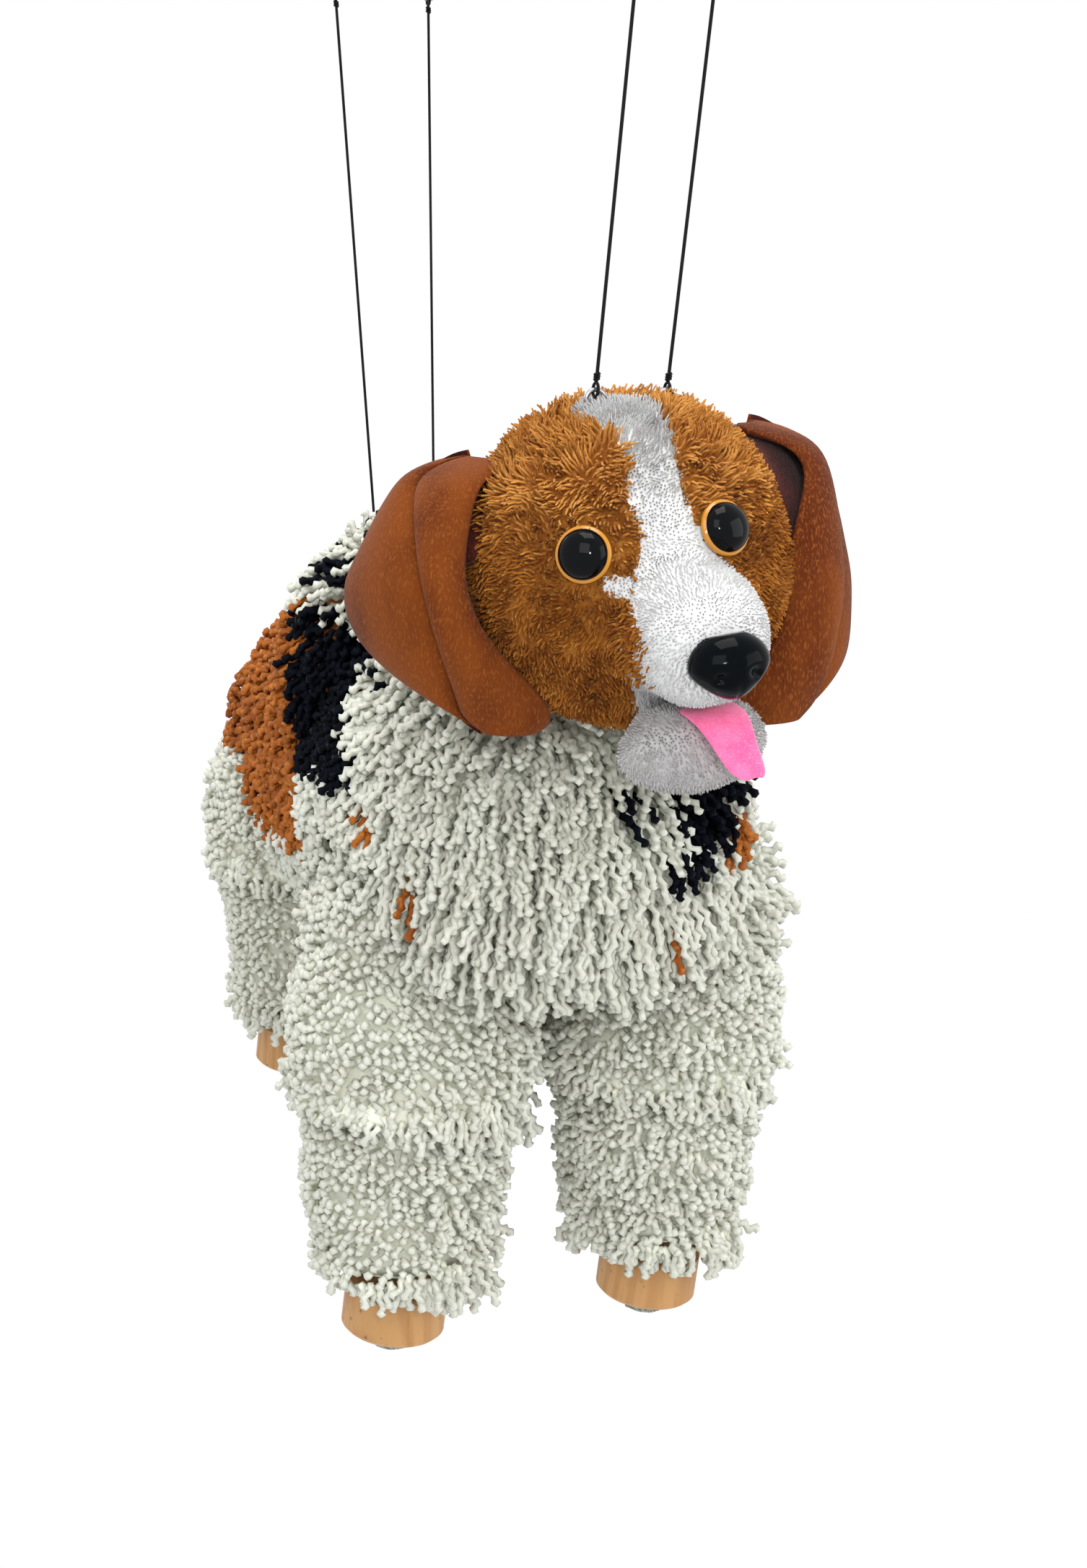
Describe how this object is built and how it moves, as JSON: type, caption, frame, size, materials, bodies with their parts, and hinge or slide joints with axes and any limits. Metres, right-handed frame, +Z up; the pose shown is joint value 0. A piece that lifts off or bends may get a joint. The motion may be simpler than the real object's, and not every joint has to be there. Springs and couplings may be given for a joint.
{
  "type": "string_marionette",
  "caption": "String marionette of a floppy-eared hound: plush head, shaggy yarn body and legs, wooden drum feet, hung by four strings under a wooden control",
  "frame": {"origin": "middle of the hanging hole in the main bar of the control", "axes": "+Z up along the hanging hole, -Y the way the dog looks, +X the dog's left"},
  "size_m": [0.2, 0.446, 0.56],
  "materials": {
    "control_wood": "sanded pale wood",
    "spine_wood": "plain dowel",
    "foot_wood": "turned tan wood, oiled",
    "steel": "plated wire",
    "string_black": "waxed black string",
    "plush_brown": "short golden-brown plush",
    "plush_white": "short white plush",
    "felt_brown": "brushed brown felt",
    "felt_pink": "pink felt",
    "eye_black": "polished black",
    "yarn_white": "curly twisted yarn, ivory",
    "yarn_black": "curly twisted yarn, blue-black",
    "yarn_brown": "curly twisted yarn, red-brown",
    "cord_white": "twisted cotton cord",
    "knot_grey": "cord soaked in grey glue",
    "washer_plastic": "moulded"
  },
  "bodies": {
    "control": {"main_bar": "control_wood", "head_bar": "control_wood", "rump_bar": "control_wood", "bar_screws": "steel", "head_bar_eyes": "steel", "rump_bar_eyes": "steel"},
    "rump_strings": {"rump_string_left": "string_black", "rump_string_right": "string_black"},
    "torso": {"chest_ruff": "yarn_white", "saddle_band": "yarn_black", "rump_band": "yarn_brown", "spine_rod": "spine_wood", "shoulder_beam": "spine_wood", "hip_beam": "spine_wood", "rump_eyelets": "steel", "neck_cord": "cord_white", "tail_anchor": "cord_white"},
    "head_strings": {"head_string_left": "string_black", "head_string_right": "string_black"},
    "head": {"head_form": "plush_brown", "blaze": "plush_white", "muzzle": "plush_white", "lower_jaw": "plush_white", "tongue": "felt_pink", "nose": "eye_black", "eye_left": "eye_black", "eye_right": "eye_black", "eye_washers": "washer_plastic", "head_eyelets": "steel"},
    "ear_left": {"ear_left": "felt_brown"},
    "ear_right": {"ear_right": "felt_brown"},
    "tail": {"tail_fringe": "yarn_brown", "tail_cord": "cord_white"},
    "front_left_thigh": {"front_left_thigh": "yarn_white", "front_left_thigh_cord": "cord_white"},
    "front_left_shin": {"front_left_shin": "yarn_white", "front_left_shin_cord": "cord_white"},
    "front_left_foot": {"front_left_foot": "foot_wood", "front_left_knot": "knot_grey"},
    "front_right_thigh": {"front_right_thigh": "yarn_white", "front_right_thigh_cord": "cord_white"},
    "front_right_shin": {"front_right_shin": "yarn_white", "front_right_shin_cord": "cord_white"},
    "front_right_foot": {"front_right_foot": "foot_wood", "front_right_knot": "knot_grey"},
    "hind_left_thigh": {"hind_left_thigh": "yarn_white", "hind_left_thigh_cord": "cord_white"},
    "hind_left_shin": {"hind_left_shin": "yarn_white", "hind_left_shin_cord": "cord_white"},
    "hind_left_foot": {"hind_left_foot": "foot_wood", "hind_left_knot": "knot_grey"},
    "hind_right_thigh": {"hind_right_thigh": "yarn_white", "hind_right_thigh_cord": "cord_white"},
    "hind_right_shin": {"hind_right_shin": "yarn_white", "hind_right_shin_cord": "cord_white"},
    "hind_right_foot": {"hind_right_foot": "foot_wood", "hind_right_knot": "knot_grey"}
  },
  "joints": [
    {"name": "rump_swing", "type": "hinge", "parent": "control", "child": "rump_strings", "pos_m": [-0.0129, 0.14744, -0.025], "axis": [1, 0, 0], "range_deg": [-3, 3]},
    {"name": "torso_swing", "type": "hinge", "parent": "rump_strings", "child": "torso", "pos_m": [0, 0.148, -0.27007], "axis": [1, 0, 0], "range_deg": [-3, 3]},
    {"name": "head_swing", "type": "hinge", "parent": "control", "child": "head_strings", "pos_m": [0.0115, -0.1315, -0.025], "axis": [1, 0, 0], "range_deg": [-5.5, 5.5]},
    {"name": "head_nod", "type": "hinge", "parent": "head_strings", "child": "head", "pos_m": [0, -0.132, -0.16804], "axis": [1, 0, 0], "range_deg": [-14, 6]},
    {"name": "ear_left_flap", "type": "hinge", "parent": "head", "child": "ear_left", "pos_m": [0.0403, -0.1235, -0.1855], "axis": [0, -1, 0], "range_deg": [0, 35]},
    {"name": "ear_right_flap", "type": "hinge", "parent": "head", "child": "ear_right", "pos_m": [-0.0403, -0.1235, -0.1855], "axis": [0, 1, 0], "range_deg": [0, 35]},
    {"name": "tail_swing", "type": "hinge", "parent": "torso", "child": "tail", "pos_m": [0, 0.21097, -0.31989], "axis": [1, 0, 0], "range_deg": [0, 60]},
    {"name": "front_left_hip", "type": "hinge", "parent": "torso", "child": "front_left_thigh", "pos_m": [0.054, -0.05, -0.373], "axis": [1, 0, 0], "range_deg": [-20, 20]},
    {"name": "front_left_knee", "type": "hinge", "parent": "front_left_thigh", "child": "front_left_shin", "pos_m": [0.054, -0.05, -0.458], "axis": [1, 0, 0], "range_deg": [-20, 20]},
    {"name": "front_left_ankle", "type": "hinge", "parent": "front_left_shin", "child": "front_left_foot", "pos_m": [0.054, -0.05, -0.5195], "axis": [1, 0, 0], "range_deg": [-12, 12]},
    {"name": "front_right_hip", "type": "hinge", "parent": "torso", "child": "front_right_thigh", "pos_m": [-0.054, -0.05, -0.373], "axis": [1, 0, 0], "range_deg": [-20, 20]},
    {"name": "front_right_knee", "type": "hinge", "parent": "front_right_thigh", "child": "front_right_shin", "pos_m": [-0.054, -0.05, -0.458], "axis": [1, 0, 0], "range_deg": [-20, 20]},
    {"name": "front_right_ankle", "type": "hinge", "parent": "front_right_shin", "child": "front_right_foot", "pos_m": [-0.054, -0.05, -0.5195], "axis": [1, 0, 0], "range_deg": [-12, 12]},
    {"name": "hind_left_hip", "type": "hinge", "parent": "torso", "child": "hind_left_thigh", "pos_m": [0.049, 0.148, -0.3395], "axis": [1, 0, 0], "range_deg": [-20, 20]},
    {"name": "hind_left_knee", "type": "hinge", "parent": "hind_left_thigh", "child": "hind_left_shin", "pos_m": [0.049, 0.148, -0.4245], "axis": [1, 0, 0], "range_deg": [-20, 20]},
    {"name": "hind_left_ankle", "type": "hinge", "parent": "hind_left_shin", "child": "hind_left_foot", "pos_m": [0.049, 0.148, -0.486], "axis": [1, 0, 0], "range_deg": [-12, 12]},
    {"name": "hind_right_hip", "type": "hinge", "parent": "torso", "child": "hind_right_thigh", "pos_m": [-0.049, 0.148, -0.3395], "axis": [1, 0, 0], "range_deg": [-20, 20]},
    {"name": "hind_right_knee", "type": "hinge", "parent": "hind_right_thigh", "child": "hind_right_shin", "pos_m": [-0.049, 0.148, -0.4245], "axis": [1, 0, 0], "range_deg": [-20, 20]},
    {"name": "hind_right_ankle", "type": "hinge", "parent": "hind_right_shin", "child": "hind_right_foot", "pos_m": [-0.049, 0.148, -0.486], "axis": [1, 0, 0], "range_deg": [-12, 12]}
  ],
  "couplings": [
    {"joint": "rump_swing", "follows": "torso_swing", "ratio": -1},
    {"joint": "head_swing", "follows": "torso_swing", "ratio": -1.7133}
  ]
}
